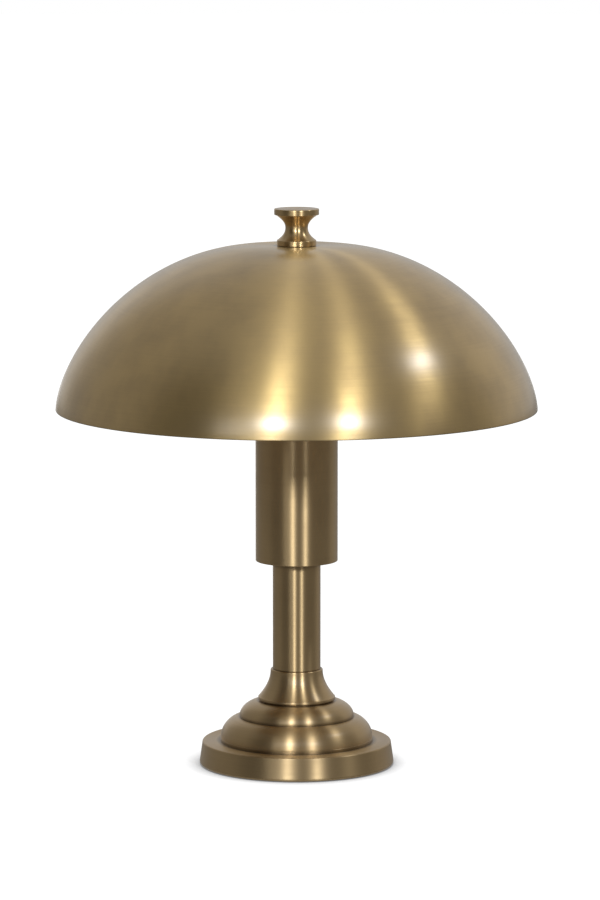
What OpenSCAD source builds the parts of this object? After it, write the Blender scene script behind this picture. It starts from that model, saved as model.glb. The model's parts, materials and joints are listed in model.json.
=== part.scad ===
// Brass desk lamp with a dome shade, millimetres.
// Origin: middle of the felt underside. +Z is up, +Y is the rear, where the cord goes in.
// Everything is strung on one threaded lamp pipe and clamped between its nuts.

/* [Foot] */
// Radius of the foot disc at its top edge
foot_r_top = 79; // [66:0.5:95]
// Radius of the foot disc at the table
foot_r_bottom = 81.3; // [68:0.1:98]
// Height of the metal foot disc
foot_h = 19; // [17:0.5:28]
// Thickness of the foot disc's top
foot_web = 3.5; // [2.5:0.5:6]
// Width of the foot disc's rim wall
foot_rim_w = 5; // [4:0.5:7]
// Rounding of the foot's edges
foot_edge_r = 1.2; // [0.4:0.1:2]
// Thickness of the felt
felt_t = 2.5; // [2:0.25:3]
// How far the felt stands below the metal
felt_proud = 0.5; // [0.3:0.1:1]

/* [Stepped base] */
// Radius of the flat fillet that stands on the foot
fillet_r = 63.75; // [53:0.25:64]
// Height of that fillet
fillet_h = 2.7; // [1.5:0.1:4]
// Height of the lower rounded step
lower_step_h = 17.6; // [14:0.1:21]
// Outer radius of the upper rounded step
upper_step_r = 47.8; // [42:0.1:50]
// Height of the upper rounded step
upper_step_h = 12.9; // [10:0.1:16]
// Radius at which the upper step turns level under the neck
upper_step_top_r = 28.4; // [24:0.1:34]
// Sharp undercut between the two steps
step_quirk = 1; // [0.5:0.1:1.5]
// Least wall of the casting
base_wall = 2.5; // [2:0.1:4]

/* [Neck collar] */
// Outer radius of the collar's lip
neck_lip_r = 32.2; // [30:0.1:38]
// Thickness of the lip
neck_lip_t = 2.9; // [2:0.1:4]
// Height of the whole collar
neck_h = 26.7; // [22:0.1:32]
// How far the lip hangs clear of the step
neck_lip_gap = 0.8; // [0.4:0.1:1.2]
// How much wider than the column the collar's top is
neck_shoulder = 1.9; // [1:0.1:3]
// Radius of the hollow under the collar
neck_hollow_r = 17; // [14:0.5:20]
// Height of the spigot that centres the column
spigot_h = 6; // [4:0.5:10]

/* [Column] */
// Outer radius of the column
column_r = 20; // [16.5:0.1:24]
// Wall of the column
column_wall = 1.5; // [1:0.1:2.5]
// Visible height of the column
column_h = 91.4; // [76:0.1:110]

/* [Sleeve] */
// Outer radius of the sleeve
sleeve_r = 34.3; // [33.5:0.1:42]
// Wall of the sleeve
sleeve_wall = 1.5; // [1:0.1:2]
// Thickness of the sleeve's floor
sleeve_floor = 2; // [1.5:0.1:4]
// Height of the sleeve
sleeve_h = 139.6; // [116:0.1:140]

/* [Lamp pipe] */
// Outer radius of the threaded pipe
pipe_r = 5; // [4.8:0.1:6]
// Wall of the pipe
pipe_wall = 1.5; // [1:0.1:1.6]
// Radial room round the pipe in plain holes
pipe_room = 0.25; // [0.15:0.05:0.5]

/* [Shade] */
// Radius of the shade's rim
shade_r = 200; // [165:1:240]
// Height of the shade from its rim to its crown
shade_h = 135.6; // [113:0.1:163]
// Thickness of the brass sheet
shade_sheet = 1; // [0.7:0.1:1.5]
// Radius of the level crown
crown_r = 36; // [30:1:60]
// Roundness of the shade's crown
crown_power = 1.92; // [1.6:0.01:2.4]
// Roundness of the shade's side
side_power = 1.585; // [1.4:0.005:2]
// Radius of the disc that stiffens the crown from inside
crown_disc_r = 20; // [17:0.5:28]
// Thickness of that disc
crown_disc_t = 0.8; // [0.6:0.1:1.5]

/* [Shade bow] */
// Height from the saddle to the top of the bow
bow_h = 197; // [180:0.5:210]
// Room beside the bulb inside the bow
bow_bulb_room = 17; // [14:0.5:25]
// Width of the bow's strap
strap_w = 12; // [10:0.5:16]
// Thickness of the bow's strap
strap_t = 2; // [1.5:0.1:2.5]
// Height of the saddle above the sleeve's floor
saddle_lift = 58.2; // [48:0.1:60]

/* [Finial] */
// Height of the finial
finial_h = 30.5; // [26:0.1:36]
// Radius of the finial's top disc
finial_top_r = 18.65; // [16:0.05:22]
// Thickness of the top disc's edge
finial_top_t = 4.9; // [3:0.1:6]
// Radius of the finial's waist
finial_waist_r = 9.4; // [8:0.1:11]
// Radius of the finial's foot
finial_foot_r = 16.35; // [15:0.05:20]
// Thickness of the finial's foot
finial_foot_t = 4.4; // [3:0.1:6]
// Radius of the stud that the finial screws on to
stud_r = 3; // [2.5:0.1:3.5]

/* [Bulb] */
// Radius of the bulb's globe
bulb_r = 30; // [25:0.5:36]
// Length of the bulb with its cap
bulb_l = 105; // [98:0.5:120]
// Radius of the bulb's screw cap
cap_r = 13.1; // [13:0.05:13.3]
// Thickness of the bulb's glass
glass_t = 0.8; // [0.6:0.1:1.2]

/* [Lampholder] */
// Outer radius of the lampholder
holder_r = 20; // [19:0.1:22]
// Height of the lampholder's lower cap
holder_cap_h = 24; // [22:0.5:28]
// Height of the lampholder's upper shell
holder_shell_h = 36; // [34:0.5:40]
// Wall of the lampholder
holder_wall = 2; // [1.5:0.1:2.5]

/* [Cord inlet] */
// Radius of the hole for the cord in the inlet bush
inlet_r = 3.6; // [3:0.1:4]
// Radius of the bush's barrel
bush_r = 5; // [4.6:0.1:5.4]

/* [Hidden] */

$fn = 96;
// Small overlap that keeps cuts clean
eps = 0.1;
// Radial room in threaded pairs and running fits
fit = 0.05;
// Room between flat faces that move on each other
face_gap = 0.2;
// How much a wire swells at a bend
knuckle = 0.04;
// Width and depth of a screwdriver slot
slot_t = 0.7;
slot_depth = 0.8;

// Heights of the stack
z_metal = felt_proud;
z_foot = z_metal + foot_h;
z_web = z_foot - foot_web;
z_quirk = z_foot + fillet_h + lower_step_h;
z_step = z_quirk + step_quirk + upper_step_h;
z_neck = z_step + neck_h;
z_column = z_neck + column_h;
z_floor = z_column + sleeve_floor;
z_sleeve = z_column + sleeve_h;
z_saddle = z_floor + saddle_lift + strap_t;
z_bow = z_saddle + bow_h;

// Pipe and its hardware
pipe_hole_r = pipe_r + pipe_room;
pipe_bore_r = pipe_r - pipe_wall;
nut_flats = 2 * pipe_r + 7;
nut_t = 4;
thin_nut_t = 3;
washer_t = 1.5;
z_pipe_foot = 5;
boss_h = 8;
boss_wall = 4;
boss_flare = 2;
z_pipe_top = z_saddle + boss_h;

// Base cavity
cavity_r = foot_r_top - foot_rim_w;
fillet_edge = 0.25;
felt_inset = 4.3;
felt_r = foot_r_bottom - felt_inset;
felt_room = 0.3;
ballast_room = 1;
ballast_r = cavity_r - ballast_room;
z_ballast = 4.5;
base_washer_r = 19;
pocket_r = base_washer_r + 2;
z_pocket = z_pipe_foot + nut_t + washer_t;
slot_w = 26;

// Terminal block, which hangs from the foot's web inside the ballast's slot
block_w = 22;
block_d = 14;
block_t = 9;
block_y = 40;
pole_pitch = 6.5;
pole_hole_r = 1.3;
clamp_pitch = 8;
clamp_r = 1.5;
clamp_sink = 0.3;
z_block = z_web - block_t;
z_pole = z_web - 4.5;

// Leads, from the block through the pipe to the lampholder
lead_r = 0.9;
lead_x = 1.6;
lead_end_y = block_y - 2;
lead_bend_y = block_y - 9;
z_lead_run = z_pipe_foot - lead_r - face_gap;
z_lead_fan = z_pipe_top + 1.5;
fan_rise = 1.5;

// Screws in the foot's web
block_screw_r = 1.25;
block_head_r = 1.6;
block_head_t = 1;
screw_hole_depth = 2.5;
earth_x = 9.5;
earth_y = 24;
earth_screw_r = 1.75;
earth_head_r = 3.2;
earth_head_t = 1.8;
tag_t = 1.2;

// Cord inlet
z_inlet = z_metal + 9.5;
bush_flange_r = bush_r + 1.5;
bush_flange_t = 2;
bush_lip_r = bush_r + 0.6;
bush_lip_y = sqrt(pow(cavity_r, 2) - pow(bush_lip_r, 2)) - face_gap;
bush_tail = 3;

// Saddle and bow
sleeve_bore_r = sleeve_r - sleeve_wall;
arm_room = 0.5;
saddle_eye_wall = 0.75;
saddle_w = max(strap_w, 2 * (pipe_hole_r + saddle_eye_wall));
arm_x = sqrt(pow(sleeve_bore_r, 2) - pow(saddle_w / 2, 2)) - arm_room;
arm_h = 26;
leg_x = arm_x - 1.5 * strap_t;
leg_foot = 6;
bow_x = bulb_r + bow_bulb_room + strap_t / 2;
bow_flat = 10;
flare_dip = 3.4;
flare_h = 37;
z_flare = z_sleeve - flare_dip;
z_bulge = z_flare + flare_h;
screw_r = 1.75;
screw_head_r = 3.2;
screw_head_t = 1.8;
bow_screw_z = [for (h = [12, 19]) z_saddle + h];

// Shade seat, stud and finial
support_r = crown_disc_r - 4;
support_t = 2;
z_support = z_bow + support_t;
z_crown = z_support + face_gap + crown_disc_t + shade_sheet;
z_rim = z_crown - shade_h;
shoulder_r = stud_r + 0.9;
shade_fit = 0.08;
shade_hole_r = shoulder_r + shade_fit;
rivet_head_t = 1.5;
rivet_head_w = 1.5;
stud_l = 19;
washer_r = finial_foot_r - 4.35;
finial_washer_t = 0.9;
// How sharply the finial's lower and upper hollows open from its waist
lower_hollow = 2.3;
upper_hollow = 2.05;
z_finial = z_crown + face_gap;
finial_bore_room = 2;

// Lampholder
insert_drop = 4;
z_insert = z_saddle + holder_cap_h - insert_drop;
insert_t = 10;
insert_r = holder_r - 2.2;
z_contact = z_insert + insert_t;
z_shell = z_saddle + holder_cap_h;
thread_bore_r = cap_r + 0.08;
screw_shell_t = 0.5;
screw_shell_h = 24;
screw_shell_flange_r = thread_bore_r + 3;
terminal_x = 10;
terminal_w = 6;
terminal_t = 6;
terminal_screw_r = 1.25;
terminal_screw_rise = 2;
terminal_head_r = 1.9;
terminal_head_t = 1.1;
lead_entry = 3.5;
grub_r = 1.5;
grub_l = 6;
z_grub = z_saddle + boss_h / 2;
strip_t = 0.6;
strip_w = 5;
centre_rivet_x = -4;
centre_rivet_r = 1.2;
side_rivet_x = thread_bore_r + 1.4;
side_rivet_r = 0.8;
z_terminal = z_insert - strip_t - terminal_t;

// Bulb
z_tip = z_contact + 3.5;
tip_r = 4.6;
tip_t = 1.2;
cap_chamfer = 1.6;
z_cap_foot = z_tip + 4.5;
cap_l = 22;
z_cap_top = z_cap_foot + cap_l;
z_glass = z_cap_top - 4.5;
z_globe = z_tip + bulb_l - bulb_r;
bulb_neck_r = cap_r - 0.6;
stem_r = 2.5;
stem_h = 28;
stem_flare_t = 1.5;
stick_r = 0.9;

brass_dome = [0.66, 0.56, 0.36];
brass_dark = [0.50, 0.40, 0.24];
brass_bright = [0.72, 0.57, 0.32];
steel = [0.62, 0.62, 0.60];
iron = [0.23, 0.23, 0.24];
white = [0.90, 0.89, 0.85];
black = [0.09, 0.09, 0.09];
live_brown = [0.36, 0.20, 0.11];
neutral_blue = [0.12, 0.28, 0.55];
earth_green = [0.45, 0.62, 0.16];
clear_glass = [0.95, 0.93, 0.88, 0.6];
stem_glass = [0.85, 0.90, 0.92, 0.6];
phosphor = [0.95, 0.75, 0.25];

// Quarter ellipse that leaves [r0, z0] level and reaches [r1, z1] plumb
function ovolo(r0, z0, r1, z1, n = 16) =
    [for (i = [0:n]) let (a = 90 * i / n) [r0 + (r1 - r0) * sin(a), z1 + (z0 - z1) * cos(a)]];

// Quarter ellipse that leaves [r0, z0] plumb and reaches [r1, z1] level
function cavetto(r0, z0, r1, z1, n = 16) =
    [for (i = [0:n]) let (a = 90 * i / n) [r1 - (r1 - r0) * cos(a), z0 - (z0 - z1) * sin(a)]];

// Hollow curve between [r0, z0] and [r1, z1], narrowest where z is z0
function cove(r0, z0, r1, z1, power, n = 12) =
    [for (i = [0:n]) [r0 + (r1 - r0) * pow(i / n, power), z0 + (z1 - z0) * i / n]];

// The same points from last to first
function reversed(p) = [for (i = [len(p) - 1:-1:0]) p[i]];

// Every point moved by d
function moved(p, d) = [for (q = p) q + d];

// The curve that runs beside an open path, d to its left
function beside(p, d) =
    [for (i = [0:len(p) - 1])
        let (t = p[min(i + 1, len(p) - 1)] - p[max(i - 1, 0)])
        p[i] + d * [-t[1], t[0]] / norm(t)];

// A flat-ended tube along +Z
module tube(r, bore, h) {
    difference() {
        cylinder(r = r, h = h);
        translate([0, 0, -eps]) cylinder(r = bore, h = h + 2 * eps);
    }
}

// Hexagon nut on the lamp pipe
module pipe_nut(t) {
    difference() {
        cylinder(r = nut_flats / sqrt(3), h = t, $fn = 6);
        translate([0, 0, -eps]) cylinder(r = pipe_r + fit, h = t + 2 * eps);
    }
}

// A round wire through a list of points
module wire(points, r) {
    for (i = [1:len(points) - 1]) {
        let (d = points[i] - points[i - 1], l = norm(d))
        translate(points[i - 1])
            rotate([0, acos(d[2] / l), atan2(d[1], d[0])])
                cylinder(r = r, h = l, $fn = 24);
    }
    for (i = [1:len(points) - 2]) translate(points[i]) sphere(r = r + knuckle, $fn = 24);
}

// Pan-head screw along +Z, its head's underside at the origin
module pan_screw(r, l, head_r, head_t) {
    cylinder(r = r, h = l);
    difference() {
        translate([0, 0, -head_t]) cylinder(r = head_r, h = head_t);
        translate([-head_r, -slot_t / 2, -head_t - eps]) cube([2 * head_r, slot_t, head_t / 2 + eps]);
    }
}

// Headless screw along +Z, its slotted end at the origin
module slotted_stud(r, l) {
    difference() {
        cylinder(r = r, h = l);
        translate([-r, -slot_t / 2, -eps]) cube([2 * r, slot_t, slot_depth + eps]);
    }
}

// Foot ------------------------------------------------------------------

module felt_pad() {
    color(black) cylinder(r = felt_r, h = felt_t);
}

module foot_plate() {
    color(brass_dark)
    difference() {
        rotate_extrude() polygon(concat(
            [[pipe_hole_r, z_foot]],
            ovolo(foot_r_top - foot_edge_r, z_foot, foot_r_top, z_foot - foot_edge_r, 6),
            [[foot_r_bottom, z_metal + foot_edge_r], [foot_r_bottom - foot_edge_r / 2, z_metal]],
            [[felt_r + felt_room, z_metal], [felt_r + felt_room, felt_t], [cavity_r, felt_t]],
            [[cavity_r, z_web], [pipe_hole_r, z_web]]
        ));
        translate([0, 0, z_inlet]) rotate([-90, 0, 0]) cylinder(r = bush_r + eps, h = 2 * foot_r_top);
        translate([0, foot_r_top, z_inlet]) rotate([-90, 0, 0])
            cylinder(r = bush_flange_r + felt_room, h = foot_r_top);
        for (x = [-1, 1]) translate([x * pole_pitch / 2, block_y, z_web - eps])
            cylinder(r = block_screw_r + fit, h = screw_hole_depth + eps);
        translate([earth_x, earth_y, z_web - eps])
            cylinder(r = earth_screw_r + fit, h = screw_hole_depth + eps);
    }
}

module ballast_weight() {
    color(iron)
    difference() {
        translate([0, 0, z_ballast]) cylinder(r = ballast_r, h = z_web - z_ballast);
        cylinder(r = pipe_hole_r + ballast_room, h = z_foot);
        cylinder(r = pocket_r, h = z_pocket);
        translate([-slot_w / 2, 0, 0]) cube([slot_w, 2 * foot_r_top, z_foot]);
    }
}

module base_washer() {
    color(steel) translate([0, 0, z_pocket - washer_t]) tube(base_washer_r, pipe_hole_r, washer_t);
}

module base_nut() {
    color(steel) translate([0, 0, z_pipe_foot]) pipe_nut(nut_t);
}

module cord_bush() {
    color(black)
    translate([0, 0, z_inlet]) rotate([-90, 0, 0])
    difference() {
        union() {
            translate([0, 0, foot_r_top]) cylinder(r = bush_flange_r, h = bush_flange_t);
            translate([0, 0, bush_lip_y - eps]) cylinder(r = bush_r, h = foot_r_top - bush_lip_y + 2 * eps);
            translate([0, 0, bush_lip_y - bush_tail]) cylinder(r = bush_lip_r, h = bush_tail);
        }
        cylinder(r = inlet_r, h = 2 * foot_r_top);
    }
}

module terminal_block() {
    color(white)
    difference() {
        translate([-block_w / 2, block_y - block_d / 2, z_block]) cube([block_w, block_d, block_t]);
        for (i = [-1:1]) {
            translate([i * pole_pitch, 0, z_pole]) rotate([-90, 0, 0])
                cylinder(r = pole_hole_r, h = 2 * block_y);
            for (s = [-1, 1]) translate([i * pole_pitch, block_y + s * clamp_pitch / 2, z_block - eps])
                cylinder(r = clamp_r + fit, h = z_pole - z_block + eps);
        }
        for (x = [-1, 1]) translate([x * pole_pitch / 2, block_y, z_block - eps])
            cylinder(r = block_screw_r + fit, h = block_t + 2 * eps);
    }
}

// Two screws that hold the terminal block to the foot
module block_screws() {
    color(steel)
    for (x = [-1, 1]) translate([x * pole_pitch / 2, block_y, z_block])
        pan_screw(block_screw_r, block_t + screw_hole_depth - face_gap, block_head_r, block_head_t);
}

// Six screws that clamp the conductors
module clamp_screws() {
    color(steel)
    for (i = [-1:1], s = [-1, 1])
        translate([i * pole_pitch, block_y + s * clamp_pitch / 2, z_block + clamp_sink])
            slotted_stud(clamp_r, z_pole - z_block - lead_r - clamp_sink - face_gap);
}

module earth_screw() {
    color(steel) translate([earth_x, earth_y, z_web - tag_t])
        pan_screw(earth_screw_r, tag_t + screw_hole_depth - face_gap, earth_head_r, earth_head_t);
}

// Earth lead, with its ring tag held under the earth screw's head
module earth_lead() {
    color(earth_green) {
        translate([earth_x, earth_y, z_web - tag_t]) tube(earth_head_r, earth_screw_r + fit, tag_t);
        translate([earth_x - lead_r / 2, earth_y + earth_head_r - 0.5, z_web - tag_t])
            cube([lead_r, 2, tag_t / 2]);
        wire([
            [pole_pitch, lead_end_y, z_pole],
            [pole_pitch, lead_bend_y, z_pole],
            [earth_x, earth_y + 6, z_web - lead_r - eps],
            [earth_x, earth_y + earth_head_r + 0.1, z_web - lead_r - eps]
        ], lead_r);
    }
}

// Route of a lead from its pole through the pipe to the terminal under the insert
function lead_route(side, pole) = [
    [pole * pole_pitch, lead_end_y, z_pole],
    [pole * pole_pitch, lead_bend_y, z_pole],
    [side * lead_x, pocket_r, z_lead_run],
    [side * lead_x, 0, z_lead_run],
    [side * lead_x, 0, z_lead_fan],
    [side * terminal_x, 0, z_lead_fan + fan_rise],
    [side * terminal_x, 0, z_terminal + lead_entry]
];

module live_lead() {
    color(live_brown) wire(lead_route(-1, -1), lead_r);
}

module neutral_lead() {
    color(neutral_blue) wire(lead_route(1, 0), lead_r);
}

// Stepped base, neck and column ----------------------------------------

// Outline of the two rounded steps, from the level top to the fillet
function step_outline() = concat(
    ovolo(upper_step_top_r, z_step, upper_step_r, z_quirk + step_quirk),
    ovolo(upper_step_r - step_quirk, z_quirk, fillet_r - fillet_edge, z_foot + fillet_h)
);

module stepped_base() {
    color(brass_dark)
    difference() {
        rotate_extrude() polygon(concat(
            [[0, z_step]],
            step_outline(),
            [[fillet_r, z_foot + fillet_h - fillet_edge], [fillet_r, z_foot], [0, z_foot]]
        ));
        rotate_extrude() polygon(concat(
            [[0, z_step - base_wall]], moved(step_outline(), [-base_wall, -base_wall]),
            [[fillet_r - base_wall, z_foot - eps], [0, z_foot - eps]]
        ));
        cylinder(r = pipe_hole_r, h = z_neck);
    }
}

module neck_collar() {
    top_r = column_r + neck_shoulder;
    lip_z = z_step + neck_lip_gap;
    edge = 0.5;
    seat_r = upper_step_top_r - 1;
    color(brass_dark)
    difference() {
        union() {
            rotate_extrude() polygon(concat(
                [[0, z_neck]],
                ovolo(top_r - 2 * edge, z_neck, top_r, z_neck - 2 * edge, 6),
                cavetto(top_r, z_neck - 3 * edge, neck_lip_r - edge, lip_z + neck_lip_t),
                ovolo(neck_lip_r - edge, lip_z + neck_lip_t, neck_lip_r, lip_z + neck_lip_t - edge, 4),
                [[neck_lip_r, lip_z + edge], [neck_lip_r - edge, lip_z], [seat_r, lip_z]],
                [[seat_r, z_step], [0, z_step]]
            ));
            translate([0, 0, z_neck - eps]) cylinder(r = column_r - column_wall - fit, h = spigot_h + eps);
        }
        translate([0, 0, z_step - eps]) cylinder(r = neck_hollow_r, h = neck_h - spigot_h + eps);
        cylinder(r = pipe_hole_r, h = z_column);
    }
}

module column_tube() {
    chamfer = 0.5;
    color(brass_dark)
    rotate_extrude() polygon([
        [column_r - column_wall, z_neck], [column_r - chamfer, z_neck],
        [column_r, z_neck + chamfer], [column_r, z_column], [column_r - column_wall, z_column]
    ]);
}

// Plug that centres the top of the column on the pipe
module column_bush() {
    color(steel) translate([0, 0, z_column - spigot_h])
        tube(column_r - column_wall - fit, pipe_hole_r, spigot_h);
}

module lamp_pipe() {
    color(steel) translate([0, 0, z_pipe_foot]) tube(pipe_r, pipe_bore_r, z_pipe_top - z_pipe_foot);
}

// Sleeve ----------------------------------------------------------------

module sleeve() {
    edge = 0.6;
    color(brass_dark)
    rotate_extrude() polygon([
        [pipe_hole_r, z_column], [sleeve_r - edge, z_column], [sleeve_r, z_column + edge],
        [sleeve_r, z_sleeve], [sleeve_bore_r, z_sleeve], [sleeve_bore_r, z_floor], [pipe_hole_r, z_floor]
    ]);
}

module sleeve_washer() {
    color(steel) translate([0, 0, z_floor]) tube(2 * pipe_r, pipe_hole_r, washer_t);
}

module sleeve_nut() {
    color(steel) translate([0, 0, z_floor + washer_t]) pipe_nut(thin_nut_t);
}

module saddle_nut() {
    color(steel) translate([0, 0, z_saddle - strap_t - thin_nut_t]) pipe_nut(thin_nut_t);
}

// Saddle and bow that carry the shade ------------------------------------

// Outline across the saddle: level floor, bent corners and two upright arms
module saddle_outline() {
    bend = 4;
    difference() {
        union() {
            translate([-arm_x + bend, -strap_t]) square([2 * (arm_x - bend), bend]);
            translate([-arm_x, bend - strap_t]) square([2 * arm_x, arm_h + strap_t - bend]);
            for (s = [-1, 1]) translate([s * (arm_x - bend), bend - strap_t]) circle(r = bend);
        }
        translate([-arm_x + bend, 0]) square([2 * (arm_x - bend), arm_h + eps]);
        translate([-arm_x + strap_t, bend - strap_t]) square([2 * (arm_x - strap_t), arm_h + eps]);
        for (s = [-1, 1]) translate([s * (arm_x - bend), bend - strap_t]) circle(r = bend - strap_t);
    }
}

// Holes through the saddle's arms or the bow's legs
module bow_screw_holes(room) {
    for (z = bow_screw_z) translate([-2 * arm_x, 0, z]) rotate([0, 90, 0])
        cylinder(r = screw_r + room, h = 4 * arm_x);
}

module bow_saddle() {
    color(brass_bright)
    difference() {
        translate([0, 0, z_saddle]) rotate([90, 0, 0])
            linear_extrude(height = saddle_w, center = true) saddle_outline();
        translate([0, 0, z_saddle - strap_t - eps]) cylinder(r = pipe_hole_r, h = strap_t + 2 * eps);
        bow_screw_holes(fit);
    }
}

// Middle line of the bow's right half, from its foot to the level top
function bow_line() = concat(
    [[leg_x, z_saddle + leg_foot]],
    [for (i = [0:10]) [leg_x + (bow_x - leg_x) * (1 - cos(18 * i)) / 2, z_flare + flare_h * i / 10]],
    [for (i = [1:14]) let (a = 90 * i / 14)
        [bow_flat + (bow_x - bow_flat) * cos(a), z_bulge + (z_bow - strap_t / 2 - z_bulge) * sin(a)]],
    [[0, z_bow - strap_t / 2]]
);

module shade_bow() {
    half = bow_line();
    left = [for (p = reversed(half)) if (p[0] > 0) [-p[0], p[1]]];
    middle = concat(half, left);
    color(brass_bright)
    difference() {
        rotate([90, 0, 0]) linear_extrude(height = strap_w, center = true)
            polygon(concat(beside(middle, strap_t / 2), reversed(beside(middle, -strap_t / 2))));
        translate([0, 0, z_bow - 2 * strap_t]) cylinder(r = stud_r + fit, h = 3 * strap_t);
        bow_screw_holes(fit);
    }
}

// Four screws that hold the bow's legs to the saddle's arms
module bow_screws() {
    color(steel)
    for (s = [-1, 1], z = bow_screw_z) translate([s * (leg_x - strap_t / 2), 0, z])
        rotate([0, s * 90, 0]) pan_screw(screw_r, 2 * strap_t, screw_head_r, screw_head_t);
}

// Lampholder --------------------------------------------------------------

module holder_cap() {
    boss_r = pipe_r + boss_wall;
    bore = holder_r - holder_wall;
    ledge = bore - 2;
    ledge_z = holder_cap_h - insert_drop;
    floor_z = boss_h + 1.5;
    color(black)
    difference() {
        translate([0, 0, z_saddle]) rotate_extrude() polygon([
            [pipe_r + fit, 0], [boss_r + boss_flare, 0], [holder_r, boss_h], [holder_r, holder_cap_h],
            [bore, holder_cap_h], [bore, ledge_z], [ledge, ledge_z],
            [ledge, floor_z], [boss_r, boss_h], [pipe_r + fit, boss_h]
        ]);
        translate([0, 0, z_grub]) rotate([90, 0, 0]) cylinder(r = grub_r + fit, h = 2 * holder_r);
    }
}

// Screw that stops the lampholder turning on the pipe
module grub_screw() {
    color(steel) translate([0, -pipe_r - eps - grub_l, z_grub]) rotate([-90, 0, 0])
        slotted_stud(grub_r, grub_l);
}

// Two terminal blocks under the insert, with holes for a lead and a screw
module holder_terminals() {
    color(brass_bright)
    for (s = [-1, 1]) difference() {
        translate([s * terminal_x - terminal_w / 2, -terminal_w / 2, z_terminal])
            cube([terminal_w, terminal_w, terminal_t]);
        translate([s * terminal_x, 0, z_terminal - eps])
            cylinder(r = lead_r + knuckle + fit, h = terminal_t - 1);
        translate([s * terminal_x, 0, z_terminal + terminal_screw_rise]) rotate([0, s * 90, 0])
            cylinder(r = terminal_screw_r + fit, h = terminal_w);
    }
}

// Screws that clamp the leads in the terminals
module holder_screws() {
    color(steel)
    for (s = [-1, 1])
        translate([s * (terminal_x + terminal_w / 2 + eps), 0, z_terminal + terminal_screw_rise])
            rotate([0, -s * 90, 0]) pan_screw(
                terminal_screw_r, terminal_w / 2 - lead_r - knuckle, terminal_head_r, terminal_head_t);
}

module holder_insert() {
    color(white) translate([0, 0, z_insert]) difference() {
        cylinder(r = insert_r, h = insert_t);
        translate([centre_rivet_x, 0, -eps]) cylinder(r = centre_rivet_r + fit, h = insert_t + 2 * eps);
        translate([side_rivet_x, 0, -eps]) cylinder(r = side_rivet_r + fit, h = insert_t + 2 * eps);
    }
}

// Sprung leaf under the bulb's tip, its rivet and its strip to the terminal
module centre_contact() {
    leaf = [[-6, 0], [-2, 0], [1, 2], [4, 2.4]];
    color(brass_bright) {
        translate([0, 0, z_contact]) rotate([90, 0, 0]) linear_extrude(height = strip_w, center = true)
            polygon(concat(leaf, reversed(moved(leaf, [-0.3, strip_t]))));
        translate([centre_rivet_x, 0, z_insert - strip_t])
            cylinder(r = centre_rivet_r, h = insert_t + 2 * strip_t);
        translate([-terminal_x - terminal_w / 2, -strip_w / 2, z_insert - strip_t])
            cube([terminal_x, strip_w, strip_t]);
    }
}

// Rivet and strip from the screw shell to the other terminal
module side_contact() {
    inner_x = terminal_x - terminal_w / 2;
    color(brass_bright) {
        translate([side_rivet_x, 0, z_insert - strip_t]) cylinder(r = side_rivet_r, h = insert_t + strip_t);
        translate([inner_x, -strip_w / 2, z_insert - strip_t])
            cube([side_rivet_x + 1 - inner_x, strip_w, strip_t]);
    }
}

module screw_shell() {
    color(brass_bright) translate([0, 0, z_contact]) rotate_extrude() polygon([
        [thread_bore_r, 0], [screw_shell_flange_r, 0], [screw_shell_flange_r, strip_t],
        [thread_bore_r + screw_shell_t, strip_t], [thread_bore_r + screw_shell_t, screw_shell_h],
        [thread_bore_r, screw_shell_h]
    ]);
}

module holder_shell() {
    bore = holder_r - holder_wall + 0.5;
    mouth = thread_bore_r + 2;
    edge = 1;
    lip_z = holder_shell_h - 1.5;
    color(black) translate([0, 0, z_shell]) rotate_extrude() polygon([
        [bore, 0], [holder_r, 0], [holder_r, holder_shell_h - edge], [holder_r - edge, holder_shell_h],
        [mouth, holder_shell_h], [mouth, lip_z], [bore, lip_z]
    ]);
}

// Shade and finial ----------------------------------------------------------

// Stud riveted into the bow, with the disc that the shade rests on
module shade_stud() {
    color(brass_bright) {
        translate([0, 0, z_bow]) cylinder(r = support_r, h = support_t);
        translate([0, 0, z_support - eps]) cylinder(r = shoulder_r, h = z_crown - z_support + eps);
        translate([0, 0, z_bow - strap_t - eps]) cylinder(r = stud_r, h = z_crown - z_bow + stud_l);
        translate([0, 0, z_bow - strap_t - rivet_head_t]) cylinder(r = stud_r + rivet_head_w, h = rivet_head_t);
    }
}

// Disc soldered inside the crown
module crown_disc() {
    color(brass_dome) translate([0, 0, z_crown - shade_sheet - crown_disc_t])
        tube(crown_disc_r, shade_hole_r, crown_disc_t);
}

// Outline of the dome, from the edge of its level crown to its rim
function dome_line(n = 36) =
    [for (i = [0:n]) let (a = 90 * i / n) [
        crown_r + (shade_r - crown_r) * pow(sin(a), 2 / crown_power),
        z_rim + shade_h * pow(cos(a), 2 / side_power)
    ]];

module shade() {
    line = dome_line();
    inner = beside(line, -shade_sheet);
    last = len(line) - 1;
    color(brass_dome) rotate_extrude() polygon(concat(
        [[shade_hole_r, z_crown]], line,
        [[shade_r - shade_sheet, z_rim]],
        reversed([for (i = [1:last - 1]) inner[i]]),
        [[crown_r, z_crown - shade_sheet], [shade_hole_r, z_crown - shade_sheet]]
    ));
}

// Thin washer that stays in the finial's foot and spares the shade's surface
module finial_washer() {
    color(steel) translate([0, 0, z_finial - face_gap / 2]) tube(washer_r, stud_r + eps, finial_washer_t);
}

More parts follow.
